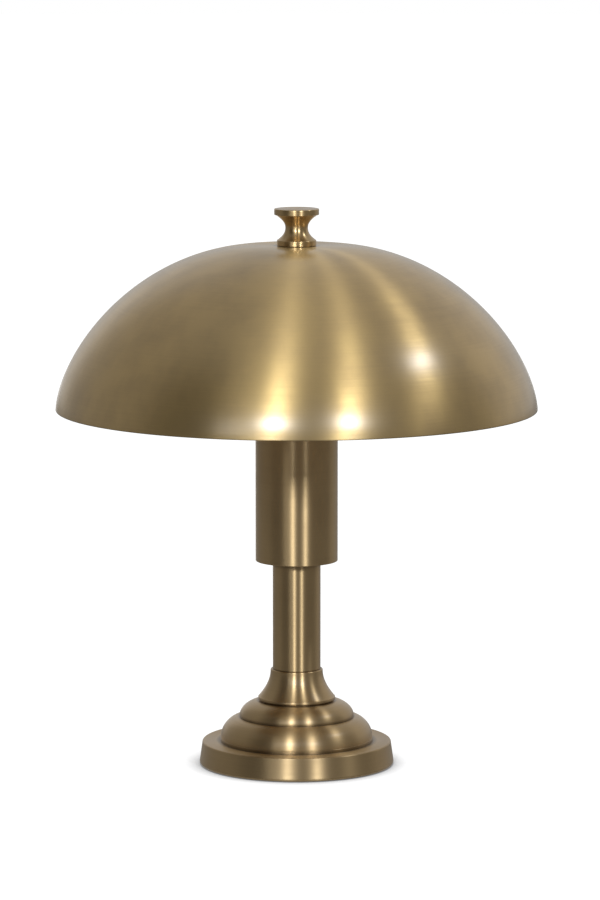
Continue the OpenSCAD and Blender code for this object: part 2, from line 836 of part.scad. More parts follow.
module finial() {
    z_top = z_finial + finial_h;
    z_foot_edge = z_finial + finial_foot_t;
    z_waist = z_foot_edge + (finial_h - finial_top_t - finial_foot_t) / 2;
    edge = 0.5;
    color(brass_bright)
    difference() {
        rotate_extrude() polygon(concat(
            [[0, z_finial], [finial_foot_r - edge, z_finial], [finial_foot_r, z_finial + edge]],
            reversed(cove(finial_waist_r, z_waist, finial_foot_r, z_foot_edge, lower_hollow)),
            cove(finial_waist_r, z_waist, finial_top_r - edge, z_top - finial_top_t, upper_hollow),
            [[finial_top_r, z_top - finial_top_t + edge], [finial_top_r, z_top - edge]],
            [[finial_top_r - edge, z_top], [0, z_top]]
        ));
        translate([0, 0, z_finial - eps]) cylinder(r = washer_r + face_gap, h = finial_washer_t + eps);
        translate([0, 0, z_finial - eps]) cylinder(r = stud_r + fit, h = stud_l + finial_bore_room);
    }
}

// Bulb ------------------------------------------------------------------

module bulb_contact_tip() {
    color(steel) translate([0, 0, z_tip]) cylinder(r = tip_r, h = tip_t);
}

module bulb_insulator() {
    color(black) translate([0, 0, z_tip + tip_t])
        cylinder(r1 = tip_r + 0.2, r2 = cap_r - cap_chamfer, h = z_cap_foot - z_tip - tip_t);
}

module bulb_cap() {
    wall = 0.4;
    color(steel)
    translate([0, 0, z_cap_foot]) rotate_extrude() polygon([
        [0, 0], [cap_r - cap_chamfer, 0], [cap_r, cap_chamfer], [cap_r, cap_l],
        [cap_r - wall, cap_l], [cap_r - wall, cap_chamfer + wall / 2],
        [cap_r - cap_chamfer - wall / 2, wall], [0, wall]
    ]);
}

// Outline of the globe, drawn in by t
function bulb_line(t) = concat(
    [[bulb_neck_r - t, z_glass]],
    [for (i = [0:12]) let (u = i / 12, r = bulb_neck_r - t + (bulb_r - bulb_neck_r) * (1 - cos(180 * u)) / 2)
        [r, z_cap_top + (z_globe - z_cap_top) * u]],
    [for (i = [1:14]) let (a = 90 * i / 14) [(bulb_r - t) * cos(a), z_globe + (bulb_r - t) * sin(a)]]
);

module bulb_glass() {
    color(clear_glass) rotate_extrude()
        polygon(concat(bulb_line(0), reversed(bulb_line(glass_t))));
}

// Glass stem, sealed into the bulb's neck
module bulb_stem() {
    color(stem_glass) {
        translate([0, 0, z_glass]) cylinder(r = bulb_neck_r - glass_t - fit, h = stem_flare_t);
        translate([0, 0, z_glass]) cylinder(r = stem_r, h = stem_h);
    }
}

// Four light sticks held by wires round the top of the stem
module bulb_filaments() {
    ring_z = z_glass + stem_h;
    ring_r = 5.5;
    ring_t = 0.8;
    out = 3.5;
    foot_z = ring_z - 6;
    elbow_z = ring_z + 27;
    peak_z = ring_z + 30;
    color(phosphor) {
        translate([0, 0, ring_z]) cylinder(r = ring_r, h = ring_t);
        for (i = [0:3]) rotate([0, 0, 45 + 90 * i]) wire([
            [ring_r - 0.5, 0, ring_z + ring_t / 2], [ring_r + out, 0, foot_z],
            [ring_r - 0.5, 0, elbow_z], [0, 0, peak_z]
        ], stick_r);
    }
}

felt_pad();
foot_plate();
ballast_weight();
base_washer();
base_nut();
cord_bush();
terminal_block();
block_screws();
clamp_screws();
earth_screw();
earth_lead();
live_lead();
neutral_lead();
stepped_base();
neck_collar();
column_tube();
column_bush();
lamp_pipe();
sleeve();
sleeve_washer();
sleeve_nut();
saddle_nut();
bow_saddle();
shade_bow();
bow_screws();
holder_cap();
grub_screw();
holder_terminals();
holder_screws();
holder_insert();
centre_contact();
side_contact();
screw_shell();
holder_shell();
shade_stud();
crown_disc();
shade();
finial_washer();
finial();
bulb_contact_tip();
bulb_insulator();
bulb_cap();
bulb_stem();
bulb_filaments();
bulb_glass();
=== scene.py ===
"""Looks of a brass desk lamp with a dome shade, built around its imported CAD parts."""

import json
import math

import bmesh
import bpy
from bpy.props import FloatProperty, FloatVectorProperty, IntProperty, PointerProperty
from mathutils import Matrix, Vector, noise


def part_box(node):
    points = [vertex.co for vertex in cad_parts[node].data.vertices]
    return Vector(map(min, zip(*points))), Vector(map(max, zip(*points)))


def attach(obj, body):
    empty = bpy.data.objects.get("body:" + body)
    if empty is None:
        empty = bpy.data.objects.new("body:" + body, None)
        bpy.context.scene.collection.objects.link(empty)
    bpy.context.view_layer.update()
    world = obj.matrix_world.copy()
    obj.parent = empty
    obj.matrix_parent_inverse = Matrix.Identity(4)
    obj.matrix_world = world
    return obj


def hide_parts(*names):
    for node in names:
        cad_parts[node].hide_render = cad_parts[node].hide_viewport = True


bl_info = {
    "name": "Dome Shade Desk Lamp",
    "version": (1, 0, 0),
    "blender": (4, 5, 0),
    "location": "3D View > Sidebar > Lamp",
    "description": "Makes the visible pieces and finishes of a brass desk lamp with a dome shade",
    "category": "Object",
}

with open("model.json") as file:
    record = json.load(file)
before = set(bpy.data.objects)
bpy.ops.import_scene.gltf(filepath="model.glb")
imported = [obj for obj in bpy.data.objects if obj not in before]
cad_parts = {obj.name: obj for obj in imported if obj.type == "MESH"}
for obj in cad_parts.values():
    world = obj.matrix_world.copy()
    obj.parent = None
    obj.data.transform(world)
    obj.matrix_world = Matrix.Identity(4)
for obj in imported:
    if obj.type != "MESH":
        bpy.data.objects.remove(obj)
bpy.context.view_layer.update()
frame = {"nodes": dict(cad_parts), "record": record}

MM = 0.001
TINY = 1e-9
QUARTER = math.pi / 2
WHITE = (1, 1, 1)
BODIES = frame["record"]["behaviour"]["bodies"]
BODY_OF = {node: body for body, nodes in BODIES.items() for node in nodes}
SLOT_OF = {part["node"]: part["material_slot"] for part in frame["record"]["subparts"]}

# Sizes in millimetres that several pieces share
PIPE_HOLE = 5.25
TUBE_WALL = 1.5

finishes = {}


def span(node):
    """Underside, top and outer radius of a round CAD node, in millimetres."""
    low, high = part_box(node)
    return low.z / MM, high.z / MM, high.x / MM


# Sizes and colours that a user would change


def length(name, description, value):
    """A length that the user can change."""
    return FloatProperty(name=name, description=description, default=value, unit="LENGTH")


def number(name, description, value):
    """A plain number that the user can change."""
    return FloatProperty(name=name, description=description, default=value)


def colour(name, description, value):
    """A colour that the user can change."""
    return FloatVectorProperty(
        name=name, description=description, default=value, subtype="COLOR", size=3, min=0, max=1
    )


class LampSizes(bpy.types.PropertyGroup):
    """Sizes of the visible pieces"""

    rim_radius: length("Rim radius", "Radius of the shade at its rim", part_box("shade")[1].x)
    level_crown: length("Level crown", "Radius of the shade's level middle, under the finial", 0.036)
    crown_power: number("Crown roundness", "How squarely the shade turns over at its crown", 1.92)
    side_power: number("Side roundness", "How squarely the shade turns down at its side", 1.585)
    sheet: length("Sheet", "Thickness of the shade's brass sheet", 0.001)
    rim_softness: length("Rim softness", "Rounding of the shade's cut edge", 0.00025)
    cap_pitch: length("Bulb thread pitch", "Rise of the bulb's thread in one turn", 0.0254 / 7)
    cap_depth: length("Bulb thread depth", "Depth of the bulb's rolled thread", 0.0009)
    screw_pitch: length("Pipe thread pitch", "Rise of the pipe's and stud's thread in one turn", 0.001)
    screw_depth: length("Pipe thread depth", "Depth of the pipe's and stud's thread", 0.0005)
    around: IntProperty(
        name="Faces around",
        description="Faces in one turn of the large round pieces",
        default=256,
        min=32,
    )
    around_small: IntProperty(
        name="Faces around small",
        description="Faces in one turn of the small round pieces",
        default=128,
        min=16,
    )


class LampColours(bpy.types.PropertyGroup):
    """Colours of the finishes"""

    shade_brass: colour("Shade brass", "Satin brass of the spun shade", (0.745, 0.515, 0.2))
    body_brass: colour("Body brass", "Antique brass of the base and column", (0.608, 0.426, 0.206))
    finial_brass: colour("Finial brass", "Brighter brass of the finial", (0.57, 0.395, 0.18))
    patina: colour("Patina", "Brown that antiquing leaves in the lines", (0.36, 0.24, 0.12))
    plain_brass: colour("Plain brass", "Unlacquered brass of the hidden fittings", (0.74, 0.55, 0.27))
    steel: colour("Steel", "Zinc plating on the nuts, screws and pipe", (0.56, 0.57, 0.56))
    bulb_metal: colour("Bulb metal", "Pressed metal of the bulb's cap", (0.74, 0.74, 0.72))
    iron: colour("Iron", "Raw casting of the ballast weight", (0.045, 0.045, 0.048))
    felt: colour("Felt", "Pressed felt under the foot", (0.018, 0.018, 0.02))
    black_plastic: colour("Black plastic", "Moulded lampholder and bush", (0.012, 0.012, 0.012))
    # Colour of the dark wax in the seams, and of the painted shade in the creases, under the sleeve and
    # the finial and along the foot's bottom edge
    grime_and_shade: colour("Grime", "Dark wax left in the seams", (0.12, 0.075, 0.035))
    white_plastic: colour("White plastic", "Moulded terminal block", (0.72, 0.70, 0.64))
    porcelain: colour("Porcelain", "Glazed insert of the lampholder", (0.80, 0.78, 0.72))
    live: colour("Live lead", "Insulation of the live lead", (0.12, 0.035, 0.012))
    neutral: colour("Neutral lead", "Insulation of the neutral lead", (0.01, 0.05, 0.25))
    earth: colour("Earth lead", "Green of the earth lead's insulation", (0.03, 0.24, 0.03))
    earth_stripe: colour("Earth stripe", "Yellow stripe of the earth lead", (0.75, 0.60, 0.03))
    light_stick: colour("Light stick", "Phosphor on the bulb's light sticks", (0.85, 0.50, 0.07))


class StudioLook(bpy.types.PropertyGroup):
    """Stage, light and camera"""

    lens: FloatProperty(
        name="Lens", description="Focal length of the camera", default=186.4, unit="CAMERA"
    )
    camera_place: FloatVectorProperty(
        name="Camera place",
        description="Where the camera stands",
        default=(0.0028, -3.8366, 0.797),
        size=3,
        subtype="TRANSLATION",
        unit="LENGTH",
    )
    camera_dip: FloatProperty(
        name="Camera dip",
        description="How far the camera looks down",
        default=math.radians(7.901),
        subtype="ANGLE",
        unit="ROTATION",
    )
    box_power: FloatVectorProperty(
        name="Softbox power",
        description="Powers of the key, second, side and fill softboxes, in watts",
        default=(34.7, 30.2, 12.7, 6.2),
        size=4,
    )
    box_tint: colour("Softbox tint", "Cool daylight of the softboxes", (0.83, 0.893, 1.0))
    bounce: number("Table bounce", "Share of the front softboxes that comes back off the table", 0.1)
    box_distance: length("Softbox distance", "Distance of the softboxes from the lamp", 3.4)
    room_light: number("Room light", "Level of the even light that fills the shadows", 0.4)
    flag_dark: number("Dark flags", "Level of the grey flags in front of the lamp", 0.2)
    flag_light: number("Light flags", "Level of the grey flags behind the lamp", 0.5)
    flag_left: number("Left flag", "How much lighter the flag at the lamp's left is", 0.07)
    flag_gap: number("Gap", "How much darker it is between the left flag and the key softbox", 0.07)
    ceiling: number("Ceiling", "Level of the cloth above the lamp", 0.41)
    floor_glow: number("Floor glow", "How much the floor is lit, so that it shows as white", 0.95)


def colours():
    """The colours that the user has set."""
    return bpy.context.scene.lamp_colours


# Node trees written as Python expressions


def joined(operation, swapped=False):
    """A Python operator of Value, which adds this Math node."""

    def operator(self, other):
        pair = (other, self) if swapped else (self, other)
        return self.tree.math(operation, *pair)

    return operator


class Value:
    """A socket that takes part in Python sums, each of which adds one Math node."""

    def __init__(self, tree, socket):
        self.tree = tree
        self.socket = socket

    __add__, __radd__ = joined("ADD"), joined("ADD", swapped=True)
    __sub__, __rsub__ = joined("SUBTRACT"), joined("SUBTRACT", swapped=True)
    __mul__, __rmul__ = joined("MULTIPLY"), joined("MULTIPLY", swapped=True)
    __truediv__, __rtruediv__ = joined("DIVIDE"), joined("DIVIDE", swapped=True)
    __pow__, __gt__, __lt__ = joined("POWER"), joined("GREATER_THAN"), joined("LESS_THAN")


def radius_of(x, y):
    """Distance from the lamp's axis."""
    return (x * x + y * y) ** 0.5


class Tree:
    """Writes nodes into one shader or geometry tree."""

    def __init__(self, nodes):
        self.tree = nodes
        nodes.nodes.clear()

    def node(self, kind, settings=None, inputs=None, output=0):
        """Adds a node: settings first, then the values or links of its sockets."""
        made = self.tree.nodes.new(kind)
        for key, value in (settings or {}).items():
            if key == "stops":
                for spot, (place, tone) in enumerate(value):
                    stops = made.color_ramp.elements
                    stop = stops[spot] if spot < len(stops) else stops.new(place)
                    stop.position = place
                    stop.color = (*tone, 1)
            else:
                setattr(made, key, value)
        for key, value in (inputs or {}).items():
            socket = made.inputs[key]
            if isinstance(value, Value):
                self.tree.links.new(value.socket, socket)
            elif socket.type == "RGBA":
                socket.default_value = (*value[:3], 1)
            else:
                socket.default_value = value
        return Value(self, made.outputs[output] if made.outputs else None)

    def math(self, operation, *values):
        return self.node("ShaderNodeMath", {"operation": operation}, dict(enumerate(values)))

    def vector(self, x, y, z):
        return self.node("ShaderNodeCombineXYZ", None, {"X": x, "Y": y, "Z": z})

    def outputs(self, kind, inputs=None):
        """Every output of a new node, by name."""
        made = self.node(kind, None, inputs).socket.node
        return {socket.name: Value(self, socket) for socket in made.outputs}

    def split(self, vector):
        """The three parts of a vector."""
        return self.outputs("ShaderNodeSeparateXYZ", {0: vector}).values()

    def clamped(self, value):
        """A value held between 0 and 1."""
        return self.node("ShaderNodeClamp", None, {"Value": value})

    def direct(self):
        """1 where the camera sees a surface, straight or in metal or glass, and 0 for its light."""
        path = self.outputs("ShaderNodeLightPath")
        straight = path["Is Camera Ray"] + path["Is Glossy Ray"]
        return self.clamped(straight + path["Is Transmission Ray"])

    def smooth(self, value, low, high, to_low=0.0, to_high=1.0):
        """Eases from one number to another while value goes from low to high."""
        ends = {"From Min": low, "From Max": high, "To Min": to_low, "To Max": to_high}
        how = {"interpolation_type": "SMOOTHSTEP"}
        return self.node("ShaderNodeMapRange", how, {"Value": value, **ends})


class Finish(Tree):
    """One material, with the parts that this lamp's finishes share."""

    def __init__(self, name):
        self.material = bpy.data.materials.new(name)
        self.material.use_nodes = True
        super().__init__(self.material.node_tree)
        self.place = self.node("ShaderNodeTexCoord", None, None, "Object")

    def noise(self, scale, detail=2.0, stretch=(1, 1, 1)):
        """Noise from 0 to 1 with about this many features in a metre."""
        times = {"operation": "MULTIPLY"}
        spot = self.node("ShaderNodeVectorMath", times, {0: self.place, 1: stretch})
        spots = {"Vector": spot, "Scale": scale, "Detail": detail}
        return self.node("ShaderNodeTexNoise", None, spots)

    def turning(self, across, along, detail=2.0):
        """Lines left by turning or brushing round the lamp's axis, closed on themselves."""
        x, y, z = self.split(self.place)
        out = radius_of(x, y)
        spot = self.vector(x * along, y * along, z * across)
        lines = {"Vector": spot, "W": out * across, "Scale": 1.0, "Detail": detail}
        return self.node("ShaderNodeTexNoise", {"noise_dimensions": "4D"}, lines)

    def blend(self, first, second, amount):
        """A colour between two."""
        mixed = {0: amount, 6: first, 7: second}
        return self.node("ShaderNodeMix", {"data_type": "RGBA"}, mixed, 2)

    def bump(self, height, depth):
        """Relief of this depth in metres."""
        relief = {"Height": height, "Distance": depth, "Strength": 1.0}
        return self.node("ShaderNodeBump", None, relief)

    def surface(self, **inputs):
        """Ends the tree in one Principled shader and gives the material."""
        named = {key.replace("_", " ").title().replace("Ior", "IOR"): inputs[key] for key in inputs}
        shader = self.node("ShaderNodeBsdfPrincipled", None, named)
        return self.close(shader)

    def glow(self, level):
        """White light of this level."""
        return self.node("ShaderNodeEmission", None, {"Color": WHITE, "Strength": level})

    def close(self, shader):
        """Puts a shader on the material and gives the material."""
        self.node("ShaderNodeOutputMaterial", None, {"Surface": shader})
        return self.material


def even(value, spread):
    """Noise that swings by this much to each side of nothing."""
    return (value - 0.5) * (2 * spread)


# Finishes


def body_grime_and_shade_rings():
    """Where the turned pieces meet, and under the sleeve and at the foot's bottom edge: radius, height
    and reach of the darkening there, in metres. The darkening is dark wax in the seams and painted
    shade in the creases, on the column under the sleeve and along the foot's bottom edge.
    """
    neck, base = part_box("neck_collar"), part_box("stepped_base")
    column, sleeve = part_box("column_tube"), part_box("sleeve")
    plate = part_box("foot_plate")
    return (
        (column[1].x + 0.0004, neck[1].z - 0.006, 0.0012),
        (neck[1].x, neck[0].z + 0.0004, 0.0024),
        (0.0472, base[0].z + 0.0206, 0.0026),
        (base[1].x, base[0].z, 0.0045),
        # Painted shade: a dark band on the column under the sleeve
        (column[1].x, sleeve[0].z, 0.006),
        # Painted shadow along the foot's bottom edge, just above the floor
        (plate[1].x, plate[0].z - 0.0005, 0.003),
    )


def dome_grime_and_shade_rings():
    """The shade's rim, with a thin dark line along its edge, and the ring under the finial, where
    painted shade and a painted reflection of the finial darken the crown. The rings are given as the
    body's rings are.
    """
    low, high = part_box("shade")
    return ((high.x, low.z - 0.0002, 0.0014), (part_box("finial")[1].x - 0.0018, high.z, 0.0035))


def turned_brass(
    name,
    tone,
    roughness,
    anisotropic,
    coat,
    coat_roughness,
    coat_ior=1.5,
    lines_climb=0.0,
    age=0.25,
    mottle=0.9,
    relief=0.000006,
    seams=(),
    matt=0.0,
):
    """Lacquered brass brushed round and round, with patina left in the lines, dark wax in the seams,
    and painted shade in the creases, under the sleeve and the finial and along the foot's bottom edge.

    The lines run level, or climb by an angle where the pad was drawn along while the piece turned.
    The foot disc is rougher than the rest by as much as matt says.
    """
    f = Finish(name)
    fine = f.turning(3200, 45)
    coarse = f.turning(650, 12)
    cloud = f.noise(16, 3)
    patch = f.noise(42, 3, stretch=(1, 1, 0.6))
    lines = even(fine, age * 0.8) + even(coarse, age * 0.7)
    worn = f.clamped(age + lines + even(cloud + patch - 0.5, age * mottle))
    tint = f.blend(tone, colours().patina, worn)
    # Dark wax and painted shade: each ring blends in the darker colour, most at its middle and none
    # beyond its reach
    if seams:
        x, y, z = f.split(f.place)
        out = radius_of(x, y)
        grime_and_shade_mask = 0.0
        for radius, height, spread in seams:
            away = ((out - radius) ** 2 + (z - height) ** 2) ** 0.5
            grime_and_shade_mask = f.math("MAXIMUM", grime_and_shade_mask, f.smooth(away, 0.1 * spread, spread, 0.65, 0.0))
        tint = f.blend(tint, colours().grime_and_shade, grime_and_shade_mask)
    if seams and matt:
        plate_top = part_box("foot_plate")[1].z
        roughness = roughness + f.smooth(z, plate_top, plate_top + MM, matt, 0.0)
    roughness = roughness + even(cloud, 0.05) + even(patch, 0.04) + even(coarse, 0.035)
    return f.surface(
        base_color=tint,
        metallic=1.0,
        roughness=roughness + even(fine, 0.03),
        anisotropic=anisotropic,
        anisotropic_rotation=0.25 - lines_climb / math.tau,
        coat_weight=coat,
        coat_roughness=coat_roughness,
        coat_ior=coat_ior,
        normal=f.bump(fine * 0.6 + coarse, relief),
    )


def satin_brass():
    brush = {"roughness": 0.43, "anisotropic": 0.915, "lines_climb": math.radians(5)}
    lacquer = {"coat": 1.0, "coat_roughness": 0.25, "coat_ior": 1.7}
    wear = {"age": 0.1, "mottle": 3.0, "seams": dome_grime_and_shade_rings()}
    return turned_brass("satin_brass_finish", colours().shade_brass, **brush, **lacquer, **wear)


def antique_brass():
    brush = {"roughness": 0.405, "anisotropic": 0.93, "matt": 0.04}
    lacquer = {"coat": 0.5, "coat_roughness": 0.29}
    wear = {"age": 0.09, "mottle": 1.6, "seams": body_grime_and_shade_rings()}
    return turned_brass("antique_brass_finish", colours().body_brass, **brush, **lacquer, **wear)


def polished_brass():
    brush = {"roughness": 0.33, "anisotropic": 0.75, "relief": 0.000003, "age": 0.1}
    lacquer = {"coat": 0.5, "coat_roughness": 0.2}
    return turned_brass("polished_brass_finish", colours().finial_brass, **brush, **lacquer)


def plain_metal(name, tone, roughness, scratch, age, patina):
    """Metal as it comes from the press or the lathe, with handling marks."""
    f = Finish(name)
    cloud = f.noise(60, 4)
    marks = f.noise(900, 3, stretch=(1, 1, 0.08))
    lines = f.turning(2600, 60)
    return f.surface(
        base_color=f.blend(tone, patina, f.clamped(age + even(cloud, age) + even(marks, age * 0.5))),
        metallic=1.0,
        roughness=roughness + even(cloud, 0.07) + even(marks, 0.05),
        normal=f.bump(marks + lines * 0.5, scratch),
    )


def plain_brass():
    tone, dull = colours().plain_brass, colours().patina
    return plain_metal("plain_brass_finish", tone, 0.34, 0.000008, 0.16, dull)


def zinc_steel():
    dull = (0.30, 0.31, 0.33)
    return plain_metal("zinc_steel_finish", colours().steel, 0.33, 0.00001, 0.25, dull)


def bulb_metal():
    dull = (0.45, 0.45, 0.45)
    return plain_metal("bulb_metal_finish", colours().bulb_metal, 0.26, 0.000006, 0.15, dull)


def cast_iron():
    f = Finish("cast_iron_finish")
    tone = colours().iron
    sand = f.noise(900, 5)
    lumps = f.noise(140, 3)
    stops = [(0.52, tone), (0.74, (0.10, 0.045, 0.02))]
    rust = f.node("ShaderNodeValToRGB", {"stops": stops}, {"Fac": lumps})
    return f.surface(
        base_color=f.blend(rust, tone, 0.5),
        metallic=0.55,
        roughness=0.68 + even(sand, 0.15),
        normal=f.bump(sand + lumps * 1.5, 0.00025),
    )


def felt():
    f = Finish("felt_finish")
    tone = colours().felt
    fibres = f.noise(1400, 4, stretch=(1, 0.25, 1))
    crossed = f.noise(1400, 4, stretch=(0.25, 1, 1))
    tufts = f.noise(160, 3)
    fluff = tuple(4 * part for part in tone)
    return f.surface(
        base_color=f.blend(tone, fluff, f.clamped(0.3 + even(fibres, 0.6) + even(tufts, 0.3))),
        roughness=0.95,
        sheen_weight=0.4,
        sheen_roughness=0.5,
        normal=f.bump(fibres + crossed + tufts, 0.0003),
    )


def moulding(name, tone, roughness, grain, relief, mottle=0.1, coat=0.0):
    """Moulded plastic or glazed ceramic: flow marks, faint grain, and roughness that varies."""
    f = Finish(name)
    flow = f.noise(45, 2)
    skin = f.noise(grain, 3)
    shade = tuple(part * (1 - 2 * mottle) for part in tone)
    return f.surface(
        base_color=f.blend(tone, shade, f.clamped(0.5 + even(flow, 0.6) + even(skin, 0.3))),
        roughness=roughness + even(flow, 0.05) + even(skin, 0.05),
        coat_weight=coat,
        coat_roughness=0.06,
        normal=f.bump(skin + flow, relief),
    )


def black_plastic():
    return moulding("black_plastic_finish", colours().black_plastic, 0.34, 1500, 0.00001)


def white_plastic():
    return moulding("white_plastic_finish", colours().white_plastic, 0.5, 1200, 0.00002)


def porcelain():
    tone = colours().porcelain
    return moulding("porcelain_finish", tone, 0.4, 260, 0.00003, mottle=0.04, coat=0.8)


def live_insulation():
    return moulding("live_insulation_finish", colours().live, 0.42, 2200, 0.00001)


def neutral_insulation():
    return moulding("neutral_insulation_finish", colours().neutral, 0.42, 2200, 0.00001)


def earth_insulation():
    f = Finish("earth_insulation_finish")
    x, y, z = f.split(f.place)
    stripe = f.math("SINE", (x - y * 0.6 + z * 0.8) * 1900)
    skin = f.noise(2000, 3)
    return f.surface(
        base_color=f.blend(colours().earth, colours().earth_stripe, f.smooth(stripe, -0.1, 0.1)),
        roughness=0.42 + even(skin, 0.06),
        normal=f.bump(skin, 0.00001),
    )


def light_stick():
    f = Finish("light_stick_finish")
    tone = colours().light_stick
    grit = f.noise(3500, 3)
    pale = tuple(min(1, part * 1.25) for part in tone)
    return f.surface(
        base_color=f.blend(tone, pale, f.clamped(0.5 + even(grit, 0.8))),
        roughness=0.55 + even(grit, 0.1),
        normal=f.bump(grit, 0.00004),
    )


def bulb_glass():
    f = Finish("bulb_glass_finish")
    waves = f.noise(22, 1)
    return f.surface(
        base_color=(0.97, 0.98, 0.97),
        roughness=0.015,
        transmission_weight=1.0,
        ior=1.46,
        normal=f.bump(waves, 0.0002),
    )


METALS = (satin_brass, antique_brass, polished_brass, plain_brass, zinc_steel, bulb_metal, cast_iron)
MOULDINGS = (black_plastic, white_plastic, porcelain)
LEADS = (live_insulation, neutral_insulation, earth_insulation)
REST = (felt, light_stick, bulb_glass)
FINISH_MAKERS = {maker.__name__: maker for maker in (*METALS, *MOULDINGS, *LEADS, *REST)}


def finish_of(node):
    """The finish of a CAD node's material slot, made when first asked for."""
    slot = SLOT_OF[node]
    if slot not in finishes:
        finishes[slot] = FINISH_MAKERS[slot]()
    return finishes[slot]


# Outlines, in millimetres of radius and height


def swell(start, end, steps=18):
    """Quarter ellipse that leaves its start level and reaches its end plumb."""
    (r0, z0), (r1, z1) = start, end
    turns = [QUARTER * i / steps for i in range(steps + 1)]
    return [(r0 + (r1 - r0) * math.sin(a), z1 + (z0 - z1) * math.cos(a)) for a in turns]


def waist(start, end, power, steps=20):
    """Hollow curve that is narrowest at its start."""
    (r0, z0), (r1, z1) = start, end
    return [
        (r0 + (r1 - r0) * (i / steps) ** power, z0 + (z1 - z0) * i / steps)
        for i in range(steps + 1)
    ]


def softened(corners, steps=4):
    """Rounds each corner given as (radius, height, rounding) and holds the faces beside it flat."""
    points = []
    for i, corner in enumerate(corners):
        here = Vector(corner[:2])
        if len(corner) == 2:
            points.append(tuple(here))
            continue
        sides = [Vector(corners[k % len(corners)][:2]) - here for k in (i - 1, i + 1)]
        cuts = [min(corner[2], 0.4 * side.length) for side in sides]
        ends = [here + side.normalized() * cut for side, cut in zip(sides, cuts)]
        held = [here + side.normalized() * (1.5 * cut) for side, cut in zip(sides, cuts)]
        points.append(tuple(held[0]))
        for k in range(steps + 1):
            t = k / steps
            points.append(tuple(ends[0] * (1 - t) ** 2 + here * (2 * t * (1 - t)) + ends[1] * t**2))
        points.append(tuple(held[1]))
    return points


# Making meshes


def smoothed(mesh, angle=35):
    """Closes the mesh, points its faces outwards and shades it smooth up to an angle in degrees."""
    shell = bmesh.new()
    shell.from_mesh(mesh)
    bmesh.ops.remove_doubles(shell, verts=shell.verts, dist=1e-7)
    bmesh.ops.recalc_face_normals(shell, faces=shell.faces)
    shell.to_mesh(mesh)
    shell.free()
    mesh.shade_smooth()
    mesh.set_sharp_from_angle(angle=math.radians(angle))
    return mesh


def mesh_of(name, vertices, faces):
    """A new mesh."""
    mesh = bpy.data.meshes.new(name)
    mesh.from_pydata(vertices, [], faces)
    return mesh


def added(name, data):
    """A new object, in the scene."""
    obj = bpy.data.objects.new(name, data)
    bpy.context.scene.collection.objects.link(obj)
    return obj


def evaluated(obj, name, *tools):
    """The plain mesh that an object's modifiers give. The object and its tools are removed."""
    graph = bpy.context.evaluated_depsgraph_get()
    mesh = bpy.data.meshes.new_from_object(obj.evaluated_get(graph), depsgraph=graph)
    for spare in (obj, *tools):
        bpy.data.objects.remove(spare)
    mesh.name = name
    return mesh


def lathe(name, outline, around, closed=True):
    """Spins an outline about the lamp's axis. A point on the axis becomes a pole."""
    turns = [math.tau * k / around for k in range(around)]
    spokes = [(math.cos(a), math.sin(a)) for a in turns]
    vertices, rings, faces = [], [], []
    for radius, height in outline:
        if radius < TINY:
            rings.append([len(vertices)] * around)
            vertices.append((0, 0, height * MM))
        else:
            rings.append(range(len(vertices), len(vertices) + around))
            vertices += [(radius * MM * x, radius * MM * y, height * MM) for x, y in spokes]
    for i in range(len(rings) if closed else len(rings) - 1):
        this, following = rings[i], rings[(i + 1) % len(rings)]
        for k in range(around):
            n = (k + 1) % around
            corners = tuple(dict.fromkeys((this[k], this[n], following[n], following[k])))
            if len(corners) > 2:
                faces.append(corners)
    return smoothed(mesh_of(name, vertices, faces))


def put(name, mesh, node):
    """Adds a finished mesh that stands for a CAD node and rides on that node's body."""
    obj = added(name, mesh)
    if not mesh.materials:
        mesh.materials.append(finish_of(node))
    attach(obj, BODY_OF[node])
    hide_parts(node)
    return obj


def turned(name, node, outline, around, closed=True):
    """A CAD node's visible piece, turned from its outline."""
    return put(name, lathe(name, outline, around, closed), node)


def shaped(name, tree, inputs, mesh=None):
    """Runs a geometry tree on a mesh and gives the result as a plain mesh."""
    source = added(name, mesh or bpy.data.meshes.new(name))
    modifier = source.modifiers.new("shape", "NODES")
    modifier.node_group = tree
    for socket in tree.interface.items_tree:
        if socket.in_out == "INPUT" and socket.name in inputs:
            modifier[socket.identifier] = inputs[socket.name]
    return evaluated(source, name)


SOCKETS = {float: "NodeSocketFloat", int: "NodeSocketInt"}


class Shape(Tree):
    """One geometry tree with named inputs."""

    def __init__(self, name, inputs):
        super().__init__(bpy.data.node_groups.new(name, "GeometryNodeTree"))
        face = self.tree.interface
        face.new_socket(name="Geometry", in_out="INPUT", socket_type="NodeSocketGeometry")
        face.new_socket(name="Geometry", in_out="OUTPUT", socket_type="NodeSocketGeometry")
        for key, kind in inputs.items():
            face.new_socket(name=key, in_out="INPUT", socket_type=SOCKETS[kind])
        face.new_socket(name="Material", in_out="INPUT", socket_type="NodeSocketMaterial")
        given = self.tree.nodes.new("NodeGroupInput")
        self.given = {socket.name: Value(self, socket) for socket in given.outputs if socket.name}

    def end(self, geometry):
        """Realizes the geometry, gives it its material and closes the tree."""
        real = self.node("GeometryNodeRealizeInstances", None, {"Geometry": geometry})
        dress = {"Geometry": real, "Material": self.given["Material"]}
        dressed = self.node("GeometryNodeSetMaterial", None, dress)
        self.node("NodeGroupOutput", None, {0: dressed})
        return self.tree


